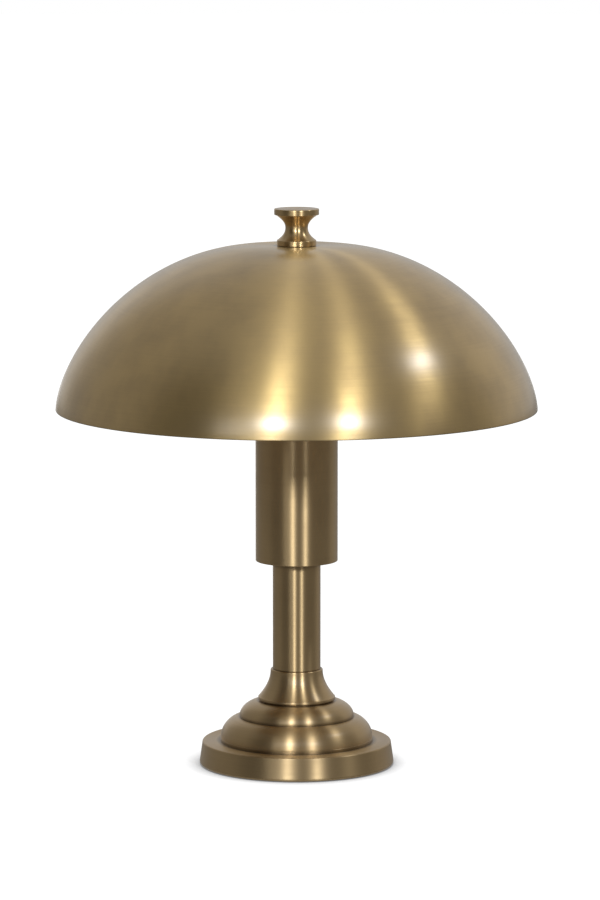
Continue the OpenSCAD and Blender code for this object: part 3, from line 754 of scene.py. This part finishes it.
def dome_tree():
    """A dome spun about the axis: level in the middle, then two powers of one quarter turn."""
    lengths = ("Rim radius", "Rim height", "Crown height", "Hole radius", "Level radius")
    shares = ("Level share", "Crown power", "Side power")
    counts = ("Around", "Rows")
    t = Shape("spun_dome", {**dict.fromkeys(lengths + shares, float), **dict.fromkeys(counts, int)})
    g = t.given
    grid = {"Size X": 1.0, "Size Y": 1.0, "Vertices X": g["Around"] + 1, "Vertices Y": g["Rows"]}
    sheet = t.node("GeometryNodeMeshGrid", None, grid)
    u, v, _ = t.split(t.node("GeometryNodeInputPosition"))
    turn = (u + 0.5) * math.tau
    level = t.clamped((v + 0.5) / g["Level share"])
    share = t.clamped((v + 0.5 - g["Level share"]) / (1 - g["Level share"]))
    fall = share * QUARTER
    radius = (
        g["Hole radius"]
        + (g["Level radius"] - g["Hole radius"]) * level
        + (g["Rim radius"] - g["Level radius"]) * t.math("SINE", fall) ** (2 / g["Crown power"])
    )
    drop = t.math("MAXIMUM", t.math("COSINE", fall), 0.0) ** (2 / g["Side power"])
    height = g["Rim height"] + (g["Crown height"] - g["Rim height"]) * drop
    spot = t.vector(radius * t.math("COSINE", turn), radius * t.math("SINE", turn), height)
    spun = t.node("GeometryNodeSetPosition", None, {"Geometry": sheet, "Position": spot})
    return t.end(t.node("GeometryNodeMergeByDistance", None, {"Geometry": spun, "Distance": 1e-6}))


def thread_tree():
    """Presses a screw thread into a turned piece. Its ends stay at the crest or are cut to the root."""
    lengths = ("Pitch", "Depth", "Foot", "Top", "Least radius", "Runout")
    shares = ("Foot cut", "Top cut", "Rolled")
    t = Shape("screw_thread", dict.fromkeys(lengths + shares, float))
    g = t.given
    x, y, z = t.split(t.node("GeometryNodeInputPosition"))
    out = radius_of(x, y)
    phase = z / g["Pitch"] - t.math("ARCTAN2", y, x) / math.tau
    rolled = 0.5 - 0.5 * t.math("COSINE", phase * math.tau)
    cut = t.math("PINGPONG", phase, 0.5) * 2
    wave = rolled * g["Rolled"] + cut * (1 - g["Rolled"])
    foot_ease = t.smooth(z, g["Foot"], g["Foot"] + g["Runout"])
    top_ease = t.smooth(z, g["Top"] - g["Runout"], g["Top"], 1.0, 0.0)
    depth = wave * foot_ease * top_ease + g["Foot cut"] * (1 - foot_ease)
    depth = depth + g["Top cut"] * (1 - top_ease)
    slack = 1e-6
    inside = (z > g["Foot"] - slack) * (z < g["Top"] + slack) * (out > g["Least radius"])
    shrink = (out - g["Depth"] * depth * inside) / t.math("MAXIMUM", out, TINY)
    spot = t.vector(x * shrink, y * shrink, z)
    pressed = {"Geometry": g["Geometry"], "Position": spot}
    return t.end(t.node("GeometryNodeSetPosition", None, pressed))


def threaded(name, node, outline, around, tree, closed=True, **inputs):
    """A turned piece with a screw thread on it."""
    plain = lathe(name, outline, around, closed)
    named = {key.replace("_", " ").capitalize(): value for key, value in inputs.items()}
    mesh = shaped(name, tree, {**named, "Material": finish_of(node)}, plain)
    return put(name, smoothed(mesh, 75), node)


def rows(radius, low, high, step):
    """Points up or down a wall, close enough together to carry a thread."""
    count = max(1, round(abs(high - low) / step))
    return [(radius, low + (high - low) * i / count) for i in range(count + 1)]


# Operators


class LampOperator:
    """What the lamp's operators share."""

    bl_options = {"REGISTER", "UNDO"}

    @property
    def sizes(self):
        return bpy.context.scene.lamp_sizes


class LAMP_OT_foot(LampOperator, bpy.types.Operator):
    """Turn the foot disc, cut its cord inlet, and lay the felt under it"""

    bl_idname = "lamp.foot"
    bl_label = "Foot and felt"

    def execute(self, context):
        self.disc()
        self.felt()
        return {"FINISHED"}

    def disc(self):
        """The foot disc, with the hole and the seat of the cord's bush at its rear."""
        low, high, wide = span("foot_plate")
        felt_top, felt_reach = span("felt_pad")[1:]
        slope, wall, web_wall, crown = 2.3, 5, 3.5, 1.2
        cord_hole, bush_seat, inside, outside = 5.1, 6.8, 60, 120
        narrow = wide - slope
        felt_seat, cavity, web = felt_reach + 0.3, narrow - wall, high - web_wall
        outline = softened(
            [
                (PIPE_HOLE, high, 0.3),
                *swell((narrow - crown, high), (narrow, high - crown), 8),
                (wide - 0.02, low + 1.4, 0.8), (wide - 0.7, low, 0.4), (felt_seat, low, 0.3),
                (felt_seat, felt_top), (cavity, felt_top), (cavity, web, 1.0), (PIPE_HOLE, web),
            ]
        )
        plate = added("foot_disc", lathe("foot_disc", outline, self.sizes.around))
        bush_z = sum(corner.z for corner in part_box("cord_bush")) / 2
        cutters = []
        for radius, start in ((cord_hole, inside), (bush_seat, narrow)):
            plug = [(0, start), (radius, start), (radius, outside), (0, outside)]
            hole = lathe("cutter", plug, 64, False)
            for vertex in hole.vertices:
                x, y, z = vertex.co
                vertex.co = (x, z, bush_z - y)
            cutters.append(added("cutter", smoothed(hole)))
            cut = plate.modifiers.new("inlet", "BOOLEAN")
            cut.operation, cut.solver, cut.object = "DIFFERENCE", "EXACT", cutters[-1]
        put("foot_disc", smoothed(evaluated(plate, "foot_disc", *cutters)), "foot_plate")

    @staticmethod
    def felt():
        """The felt, whose underside shows its nap."""
        high, rim = span("felt_pad")[1:]
        edge, rings, nap, tufts = 0.6, 44, 0.00012, 260
        under = [(rim * i / rings, 0) for i in range(rings)] + [(rim - edge, 0)]
        side = [(rim - 0.3 * edge, 0.3 * edge), (rim, edge), (rim, high)]
        pad = lathe("felt_disc", [*under, *side, (0, high)], 128, False)
        for vertex in pad.vertices:
            if vertex.co.z < 0.5 * MM:
                vertex.co.z += nap * (1 + noise.noise(vertex.co * tufts))
        put("felt_disc", smoothed(pad), "felt_pad")


class LAMP_OT_base(LampOperator, bpy.types.Operator):
    """Turn the stepped base and the flared neck collar that stands on it"""

    bl_idname = "lamp.base"
    bl_label = "Stepped base and neck"

    def execute(self, context):
        around = self.sizes.around
        low, high, wide = span("stepped_base")
        wall, quirk, flat = 2.5, low + 20.3, 28
        upper = ((flat + 0.4, high), (47.8, quirk + 1))
        lower = ((46.8, quirk), (wide - 0.25, low + 2.7))
        inner = [(r - wall, z - wall) for r, z in swell(*upper) + swell(*lower)]
        outline = [
            (PIPE_HOLE, high), (flat, high), *swell(*upper, 28), (47.75, quirk + 0.15),
            *swell(*lower, 36), (wide, low + 2.45), (wide, low + 2.2), (wide, low + 0.2),
            (wide - 0.2, low), (wide - wall, low), *reversed(inner), (PIPE_HOLE, high - wall),
        ]
        turned("stepped_base_turned", "stepped_base", outline, around)

        seat, spigot, wide = span("neck_collar")
        spigot_r, bore, plug = 18.45, 17, 27.4
        shoulder, lip, web = spigot - 6, seat + 0.8, spigot - 12
        flare = (wide - 0.3, lip + 2.6)
        collar = softened(
            [
                (PIPE_HOLE, spigot, 0.3), (spigot_r, spigot, 0.5), (spigot_r, shoulder),
                *swell((20.9, shoulder), (21.9, shoulder - 1), 8),
                *waist((21.9, shoulder - 1.5), flare, 1.9, 32),
                *swell(flare, (wide, lip + 2), 5)[1:],
                (wide, lip, 0.5), (plug, lip), (plug, seat),
                (bore, seat), (bore, web), (PIPE_HOLE, web),
            ]
        )
        turned("neck_collar_turned", "neck_collar", collar, around)
        return {"FINISHED"}


class LAMP_OT_column(LampOperator, bpy.types.Operator):
    """Cut the column tube and make the sleeve under the shade"""

    bl_idname = "lamp.column"
    bl_label = "Column and sleeve"

    def execute(self, context):
        low, high, wide = span("column_tube")
        bore = wide - TUBE_WALL
        tube = softened([(bore, low), (wide, low, 0.45), (wide, high, 0.2), (bore, high)])
        turned("column_tube_brushed", "column_tube", tube, self.sizes.around)

        low, high, wide = span("sleeve")
        bore, floor = wide - TUBE_WALL, low + 2
        outside = [(PIPE_HOLE, low), (wide, low, 0.6), (wide, high, 0.3)]
        inside = [(bore, high, 0.3), (bore, floor, 0.6), (PIPE_HOLE, floor)]
        turned("sleeve_brushed", "sleeve", softened(outside + inside), self.sizes.around)
        return {"FINISHED"}


class LAMP_OT_shade(LampOperator, bpy.types.Operator):
    """Spin the dome shade from one sheet of brass"""

    bl_idname = "lamp.shade"
    bl_label = "Dome shade"

    def execute(self, context):
        sizes = self.sizes
        low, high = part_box("shade")
        stud_hole, level_share, courses = 0.00398, 0.1, 112
        inputs = {
            "Rim radius": sizes.rim_radius, "Rim height": low.z, "Crown height": high.z,
            "Hole radius": stud_hole, "Level radius": sizes.level_crown, "Level share": level_share,
            "Crown power": sizes.crown_power, "Side power": sizes.side_power,
            "Around": sizes.around, "Rows": courses, "Material": finish_of("shade"),
        }
        mesh = shaped("dome_shade", dome_tree(), inputs)
        smoothed(mesh)
        centre = Vector((0, 0, low.z))
        outward = sum(face.normal.dot(face.center - centre) for face in mesh.polygons)
        if outward < 0:
            mesh.flip_normals()
        dome = put("dome_shade", mesh, "shade")
        wall = dome.modifiers.new("sheet", "SOLIDIFY")
        wall.thickness, wall.offset, wall.use_even_offset = sizes.sheet, -1, True
        rim = dome.modifiers.new("rim", "BEVEL")
        rim.width, rim.segments, rim.limit_method = sizes.rim_softness, 2, "ANGLE"
        rim.angle_limit = math.radians(60)
        return {"FINISHED"}


class LAMP_OT_finial(LampOperator, bpy.types.Operator):
    """Turn the finial"""

    bl_idname = "lamp.finial"
    bl_label = "Finial"

    def execute(self, context):
        low, high, wide = span("finial")
        foot_r, waist_r, washer_r, bore_r = 16.35, 9.4, 12.2, 3.05
        edge, rim, washer, bore = low + 4.4, high - 4.9, low + 0.9, low + 20.9
        middle = (edge + rim) / 2
        outline = softened(
            [
                (0, high), (wide, high, 0.7), (wide, rim, 0.6),
                *reversed(waist((waist_r, middle), (wide - 0.5, rim), 2.05)),
                *waist((waist_r, middle), (foot_r, edge), 2.3)[1:-1],
                (foot_r, edge, 0.4), (foot_r, low, 0.5), (washer_r, low, 0.2),
                (washer_r, washer), (bore_r, washer), (bore_r, bore), (0, bore),
            ]
        )
        turned("finial_turned", "finial", outline, self.sizes.around_small, False)
        return {"FINISHED"}


class LAMP_OT_threads(LampOperator, bpy.types.Operator):
    """Cut the threads on the lamp pipe and the stud, and roll those of the bulb and its socket"""

    bl_idname = "lamp.threads"
    bl_label = "Threaded pieces"

    def execute(self, context):
        sizes, tree = self.sizes, thread_tree()
        pitch, turn = sizes.screw_pitch / MM, sizes.cap_pitch / MM
        cut = {"pitch": sizes.screw_pitch, "depth": sizes.screw_depth, "rolled": 0.0}
        cut |= {"runout": sizes.screw_pitch, "foot_cut": 1.0, "top_cut": 1.0}
        rolled = {"pitch": sizes.cap_pitch, "depth": sizes.cap_depth, "rolled": 1.0}
        rolled |= {"runout": 0.5 * sizes.cap_pitch, "least_radius": 0.012, "top_cut": 0.0}

        low, high, wide = span("lamp_pipe")
        bore, around = wide - 1.5, 24
        outline = [*rows(wide, low, high, pitch / 5), (bore, high), (bore, low)]
        ends = {"foot": low * MM, "top": high * MM, "least_radius": (bore + 0.5) * MM}
        threaded("lamp_pipe_threaded", "lamp_pipe", outline, around, tree, **ends, **cut)

        low, high, _ = span("shade_stud")
        crown = span("shade")[1]
        stud_r, neck_r, disc_r, around = 3, 3.9, 16, 48
        rivet, under, over = low + 1.5, low + 3.5, low + 5.5
        outline = [
            (0, low), (3.6, low), (4.4, low + 0.5), (4.5, rivet), (stud_r, rivet), (stud_r, under),
            (disc_r - 0.2, under), (disc_r, under + 0.2), (disc_r, over - 0.2),
            (disc_r - 0.2, over), (neck_r, over), (neck_r, crown),
            *rows(stud_r, crown, high, pitch / 8), (0, high),
        ]
        ends = {"foot": (crown + 0.05) * MM, "top": high * MM, "least_radius": 2 * MM}
        threaded("finial_stud_threaded", "shade_stud", outline, around, tree, False, **ends, **cut)

        low, high, wide = span("bulb_cap")
        wall, start, step = 0.4, low + 1, turn / 10
        outline = [
            (0, low), (11.5, low), *rows(wide, start, high, step),
            *rows(wide - wall, high, start + wall, step), (11.2, low + wall), (0, low + wall),
        ]
        ends = {"foot": start * MM, "top": (high - 2.2) * MM, "foot_cut": 1.0}
        around = sizes.around_small
        threaded("bulb_cap_rolled", "bulb_cap", outline, around, tree, False, **ends, **rolled)

        low, high, wide = span("screw_shell")
        bore, crest, start = 13.18, 13.68, low + 0.6
        outline = [(bore, low), (wide, low), (wide, start)]
        outline += rows(crest, start, high, step) + rows(bore, high, start, step)
        ends = {"foot": (low + 2) * MM, "top": (high - 0.5) * MM, "foot_cut": 0.0}
        threaded("screw_shell_rolled", "screw_shell", outline, around, tree, **ends, **rolled)
        return {"FINISHED"}


class LAMP_OT_bulb(LampOperator, bpy.types.Operator):
    """Blow the bulb's glass"""

    bl_idname = "lamp.bulb"
    bl_label = "Bulb glass"

    def execute(self, context):
        low, high, wide = span("bulb_glass")
        wall, neck, collar, middle = 0.8, 12.5, low + 4.5, high - wide
        flare, globe = 24, 28

        def line(drawn_in):
            """The glass from its neck to its pole, this far inside its outer face."""
            radius, points = wide - drawn_in, [(neck - drawn_in, low)]
            for i in range(flare + 1):
                u = i / flare
                out = neck - drawn_in + (wide - neck) * (1 - math.cos(math.pi * u)) / 2
                points.append((out, collar + (middle - collar) * u))
            for i in range(1, globe):
                a = QUARTER * i / globe
                points.append((radius * math.cos(a), middle + radius * math.sin(a)))
            return [*points, (0, middle + radius)]

        outline = line(0) + line(wall)[::-1]
        turned("bulb_glass_blown", "bulb_glass", outline, self.sizes.around_small)
        return {"FINISHED"}


class LAMP_OT_bow(LampOperator, bpy.types.Operator):
    """Bend the strap that carries the shade round the bulb"""

    bl_idname = "lamp.bow"
    bl_label = "Strap bow"
    thick = 2

    def execute(self, context):
        half_line, crest = self.half_line()
        line = [*half_line, (5, crest), (0, crest)]
        line += [(-x, z) for x, z in line[-2::-1]]
        section = self.section()
        count, last = len(section), len(line) - 1
        vertices = []
        for i, (x, z) in enumerate(line):
            before, after = line[max(i - 1, 0)], line[min(i + 1, last)]
            along = Vector((after[0] - before[0], after[1] - before[1])).normalized()
            for n, y in section:
                vertices.append(((x + n * along.y) * MM, y * MM, (z - n * along.x) * MM))
        faces = []
        for i in range(last):
            for k in range(count):
                a, b = i * count + k, i * count + (k + 1) % count
                faces.append((a, b, b + count, a + count))
        faces += [tuple(range(count)), tuple(range(last * count, (last + 1) * count))]
        put("strap_bow", smoothed(mesh_of("strap_bow", vertices, faces)), "shade_bow")
        return {"FINISHED"}

    def half_line(self):
        """The strap's middle line up one side and in over the bulb, and its height at the crest."""
        low, high, wide = span("shade_bow")
        wide, crest = wide - self.thick / 2, high - self.thick / 2
        leg, flare, bulge, flat = 28.75, 308, 345, 10
        straight, spread, arch = 8, 24, 40
        line = [(leg, low + (flare - low) * i / straight) for i in range(straight)]
        for i in range(spread + 1):
            out = leg + (wide - leg) * (1 - math.cos(math.pi * i / spread)) / 2
            line.append((out, flare + (bulge - flare) * i / spread))
        for i in range(1, arch + 1):
            a = QUARTER * i / arch
            out = flat + (wide - flat) * math.cos(a)
            line.append((out, bulge + (crest - bulge) * math.sin(a)))
        return line, crest

    def section(self):
        """The strap's rounded oblong section, across its thickness and its width."""
        r, half_wide = 0.45, 6
        corner = [(0, r), (0.13 * r, 0.5 * r), (0.5 * r, 0.13 * r), (r, 0)]
        quarter = [(self.thick / 2 - a, half_wide - b) for a, b in corner]
        mirrored = [(-n, y) for n, y in reversed(quarter)]
        half = [*quarter, *mirrored]
        return half + [(-n, -y) for n, y in half]


class LAMP_OT_fittings(LampOperator, bpy.types.Operator):
    """Give the CAD pieces that keep their shape the finishes of their slots"""

    bl_idname = "lamp.fittings"
    bl_label = "Finishes of the fittings"

    def execute(self, context):
        for node, obj in frame["nodes"].items():
            if not obj.material_slots:
                obj.data.materials.append(None)
            for slot in obj.material_slots:
                slot.material = finish_of(node)
        return {"FINISHED"}


class LAMP_OT_stage(LampOperator, bpy.types.Operator):
    """Set the floor, flags, softboxes, room light and camera"""

    bl_idname = "lamp.stage"
    bl_label = "Stage and camera"

    def execute(self, context):
        look = context.scene.lamp_studio
        floor_finish, flag_finish = self.floor_finish(look), self.flag_finish(look)
        cloth_finish = self.cloth_finish(look)
        wide, room, cloth_z, floor_z = 14, 6, 0.001, -0.0002
        start, end = math.radians(-162), math.radians(166)
        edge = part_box("foot_plate")[1].x + 0.0005
        self.disc("floor", 0, wide, 0, math.tau, floor_z, floor_finish)
        cloth = self.disc("floor_cloth", edge, room, start, end, cloth_z, cloth_finish)
        tent = self.tent("tent", room, flag_finish)
        for flag in (cloth, tent):
            flag.visible_camera = False
            flag.visible_diffuse = False
            flag.visible_transmission = False
            flag.visible_shadow = False
        key, second, side, fill = look.box_power
        for name, azimuth, elevation, size, power in (
            ("key", -10.6, 20.5, (0.29, 0.40), key),
            ("second", 25.0, 21.4, (0.17, 0.52), second),
            ("side", 86.5, 45.5, (0.55, 0.20), side),
            ("fill", -28, 14, (1.0, 1.0), fill),
            ("key_bounce", -11.0, 1.5, (0.31, 0.40), key * look.bounce),
            ("second_bounce", 25.0, 1.5, (0.17, 0.52), second * look.bounce),
        ):
            self.softbox(look, name, azimuth, elevation, size, power)
        self.world(look)
        self.camera(look)
        context.scene.view_settings.view_transform = "Standard"
        return {"FINISHED"}

    @staticmethod
    def floor_finish(look):
        """Pale floor that shows as white and keeps the lamp's shadow and the dark line under it."""
        f = Finish("white_floor")
        f.material.cycles.emission_sampling = "NONE"
        direct = f.direct()
        shade_reach, darkest, dark, light = 0.06, 0.1, 0.34, 0.9
        reach = {"Distance": shade_reach}
        open_sky = f.node("ShaderNodeAmbientOcclusion", {"samples": 8}, reach, "AO")
        contact = f.math("MAXIMUM", f.clamped((open_sky - dark) / (light - dark)), darkest)
        white = f.node("ShaderNodeBsdfDiffuse", None, {"Color": (0.35, 0.35, 0.35)})
        lit = f.glow(direct * look.floor_glow * contact)
        both = f.node("ShaderNodeAddShader", None, {0: white, 1: lit})
        clear = f.node("ShaderNodeBsdfTransparent")
        back = f.node("ShaderNodeNewGeometry", None, None, "Backfacing")
        return f.close(f.node("ShaderNodeMixShader", None, {0: back, 1: both, 2: clear}))

    @staticmethod
    def cloth_finish(look):
        """Evenly dark cloth on the floor."""
        f = Finish("dark_cloth")
        f.material.cycles.emission_sampling = "NONE"
        return f.close(f.glow(look.flag_dark))

    @staticmethod
    def flag_finish(look):
        """Grey cloth: dark in front, lighter at the left, towards the back and overhead."""
        f = Finish("grey_flag")
        f.material.cycles.emission_sampling = "NONE"
        x, y, z = f.split(f.place)
        out = radius_of(x, y) + TINY
        far = (x * x + y * y + z * z) ** 0.5 + TINY

        def facing_to(azimuth):
            """How nearly the cloth lies that way from the lamp, from -1 to 1."""
            a = math.radians(azimuth)
            return (x * math.sin(a) - y * math.cos(a)) / out

        back_right, at_left, beside_key = 160, -118, -54
        facing = facing_to(back_right)
        front = f.smooth(facing, -0.9, -0.3, 0.62 * look.flag_dark, look.flag_dark)
        left = f.smooth(facing_to(at_left), 0.6, 0.95, 0.0, look.flag_left)
        gap = f.smooth(facing_to(beside_key), 0.88, 0.99, 0.0, look.flag_gap)
        lighter = look.flag_light - look.flag_dark
        side = front + left - gap + f.smooth(facing, 0.45, 0.74, 0.0, lighter)
        overhead = f.smooth(z / far, 0.59, 1.0)
        return f.close(f.glow(side + (look.ceiling - side) * overhead))

    @staticmethod
    def disc(name, inner, outer, start, end, height, material):
        """A flat ring or part of one, on the floor."""
        count = 72
        vertices, faces = [], []
        for i in range(count + 1):
            a = start + (end - start) * i / count
            vertices += [(r * math.sin(a), -r * math.cos(a), height) for r in (inner, outer)]
        for i in range(count):
            faces.append((2 * i, 2 * i + 1, 2 * i + 3, 2 * i + 2))
        mesh = mesh_of(name, vertices, faces)
        if mesh.polygons[0].normal.z < 0:
            mesh.flip_normals()
        mesh.materials.append(material)
        obj = added(name, mesh)
        return obj

    @staticmethod
    def tent(name, radius, material):
        """A half sphere of cloth over the set."""
        shell = bmesh.new()
        bmesh.ops.create_uvsphere(shell, u_segments=64, v_segments=32, radius=radius)
        low = [v for v in shell.verts if v.co.z < -0.01]
        bmesh.ops.delete(shell, geom=low, context="VERTS")
        mesh = bpy.data.meshes.new(name)
        shell.to_mesh(mesh)
        shell.free()
        mesh.materials.append(material)
        obj = added(name, mesh)
        return obj

    @staticmethod
    def softbox(look, name, azimuth, elevation, size, power):
        """A softbox that faces the lamp's middle from this direction."""
        middle = Vector((0, 0, 0.25))
        data = bpy.data.lights.new(name, "AREA")
        data.shape, (data.size, data.size_y) = "RECTANGLE", size
        data.energy, data.color = power, look.box_tint
        a, e = math.radians(azimuth), math.radians(elevation)
        away = Vector((math.sin(a) * math.cos(e), -math.cos(a) * math.cos(e), math.sin(e)))
        box = added(name, data)
        box.location = middle + away * look.box_distance
        box.rotation_euler = away.to_track_quat("Z", "Y").to_euler()
        box.visible_camera = False

    @staticmethod
    def world(look):
        """A white room that lights the lamp evenly."""
        world = bpy.data.worlds.new("white_room")
        world.use_nodes = True
        bpy.context.scene.world = world
        t = Tree(world.node_tree)
        strength = look.room_light + t.direct() * (1 - look.room_light)
        light = t.node("ShaderNodeBackground", None, {"Color": WHITE, "Strength": strength})
        t.node("ShaderNodeOutputWorld", None, {"Surface": light})

    @staticmethod
    def camera(look):
        """The camera where the photograph was taken from."""
        data = bpy.data.cameras.new("camera")
        data.lens, data.sensor_width, data.sensor_fit = look.lens, 36, "AUTO"
        camera = added("camera", data)
        camera.location = look.camera_place
        camera.rotation_euler = (QUARTER - look.camera_dip, 0, 0)
        bpy.context.scene.camera = camera


OPERATORS = (
    LAMP_OT_foot,
    LAMP_OT_base,
    LAMP_OT_column,
    LAMP_OT_shade,
    LAMP_OT_finial,
    LAMP_OT_threads,
    LAMP_OT_bulb,
    LAMP_OT_bow,
    LAMP_OT_fittings,
    LAMP_OT_stage,
)


class LAMP_PT_panel(bpy.types.Panel):
    """Lists the steps that make the lamp"""

    bl_label = "Dome Shade Desk Lamp"
    bl_idname = "LAMP_PT_panel"
    bl_space_type = "VIEW_3D"
    bl_region_type = "UI"
    bl_category = "Lamp"

    def draw(self, context):
        for operator in OPERATORS:
            self.layout.operator(operator.bl_idname)


CLASSES = (LampSizes, LampColours, StudioLook, *OPERATORS, LAMP_PT_panel)


def register():
    for cls in CLASSES:
        bpy.utils.register_class(cls)
    bpy.types.Scene.lamp_sizes = PointerProperty(type=LampSizes)
    bpy.types.Scene.lamp_colours = PointerProperty(type=LampColours)
    bpy.types.Scene.lamp_studio = PointerProperty(type=StudioLook)


def unregister():
    del bpy.types.Scene.lamp_sizes
    del bpy.types.Scene.lamp_colours
    del bpy.types.Scene.lamp_studio
    for cls in reversed(CLASSES):
        bpy.utils.unregister_class(cls)


def main():
    """Makes the whole lamp and its stage."""
    register()
    for operator in OPERATORS:
        group, name = operator.bl_idname.split(".")
        getattr(getattr(bpy.ops, group), name)()


if __name__ == "__main__":
    main()
